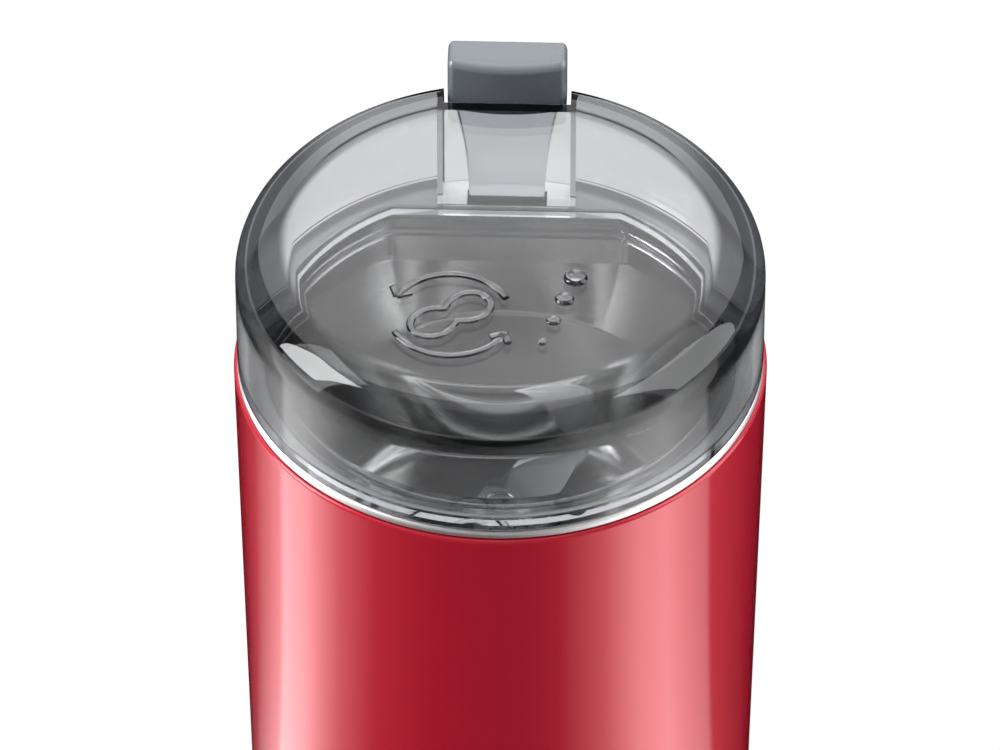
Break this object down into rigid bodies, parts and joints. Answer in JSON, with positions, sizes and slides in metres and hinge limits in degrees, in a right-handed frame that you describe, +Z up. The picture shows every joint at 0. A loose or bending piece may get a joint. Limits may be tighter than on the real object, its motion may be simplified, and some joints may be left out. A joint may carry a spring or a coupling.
{
  "type": "electric coffee grinder",
  "caption": "Round free-standing electric blade grinder: glossy shell, steel bowl with spinning blade, clear lift-off lid and a sprung push button in the lid's rear pocket.",
  "frame": {"origin": "on the floor under the motor axis, at the bottom of the rubber feet", "axes": "+Z up along the motor axis, -Y towards the front, the push button at the rear on +Y"},
  "size_m": [0.088, 0.088, 0.1709],
  "materials": {
    "shell_red": "deep red lacquered plastic",
    "clear_plastic": "smoky clear plastic",
    "button_grey": "satin blue-grey plastic cap",
    "stem_milky": "translucent milky plastic",
    "base_dark": "fine-grained dark plastic",
    "rubber_black": "matt rubber",
    "bowl_steel": "drawn stainless steel",
    "blade_steel": "ground stainless steel",
    "hub_black": "black moulded plastic",
    "zinc_steel": "zinc-plated steel",
    "carrier_plastic": "dark grey plastic",
    "bracket_aluminium": "die-cast aluminium",
    "bronze": "sintered bronze and brass",
    "lamination": "stacked electrical steel",
    "copper": "enamelled copper",
    "carbon": "pressed carbon"
  },
  "bodies": {
    "housing": {"body_shell": "shell_red", "base_cover": "base_dark", "inlet_bush": "base_dark", "rubber_feet": "rubber_black", "shaft_seal": "rubber_black", "motor_mounts": "rubber_black", "grinding_bowl": "bowl_steel", "tie_screws": "zinc_steel", "bowl_studs": "zinc_steel", "bowl_nuts": "zinc_steel", "mount_screws": "zinc_steel", "motor_bolts": "zinc_steel", "switch_screws": "zinc_steel", "return_spring": "zinc_steel", "brush_springs": "zinc_steel", "bowl_carrier": "carrier_plastic", "switch_body": "carrier_plastic", "capacitor": "carrier_plastic", "motor_leads": "carrier_plastic", "upper_bracket": "bracket_aluminium", "lower_bracket": "bracket_aluminium", "upper_bearing": "bronze", "lower_bearing": "bronze", "brush_holders": "bronze", "switch_terminals": "bronze", "stator_core": "lamination", "field_coils": "copper", "carbon_brushes": "carbon"},
    "button": {"push_button": "button_grey", "button_stem": "stem_milky"},
    "plunger": {"switch_plunger": "carrier_plastic"},
    "lid": {"lid": "clear_plastic"},
    "rotor": {"motor_shaft": "zinc_steel", "armature_core": "lamination", "armature_windings": "copper", "commutator": "copper", "thrust_washers": "zinc_steel", "blade_hub": "hub_black", "blade": "blade_steel", "blade_nut": "blade_steel"}
  },
  "joints": [
    {"name": "button_press", "type": "slide", "parent": "housing", "child": "button", "axis": [0, 0, -1], "range_m": [0, 0.004], "stiffness_N_per_m": 400, "springref_m": -0.005, "deforming": ["return_spring"]},
    {"name": "plunger_press", "type": "slide", "parent": "housing", "child": "plunger", "axis": [0, 0, -1], "range_m": [0, 0.004]},
    {"name": "lid_lift", "type": "slide", "parent": "housing", "child": "lid", "axis": [0, 0, 1], "range_m": [0, 0.06]},
    {"name": "rotor_spin", "type": "hinge", "parent": "housing", "child": "rotor", "pos_m": [0, 0, 0.058], "axis": [0, 0, 1], "continuous": true}
  ],
  "couplings": [
    {"joint": "plunger_press", "follows": "button_press", "ratio": 1}
  ]
}
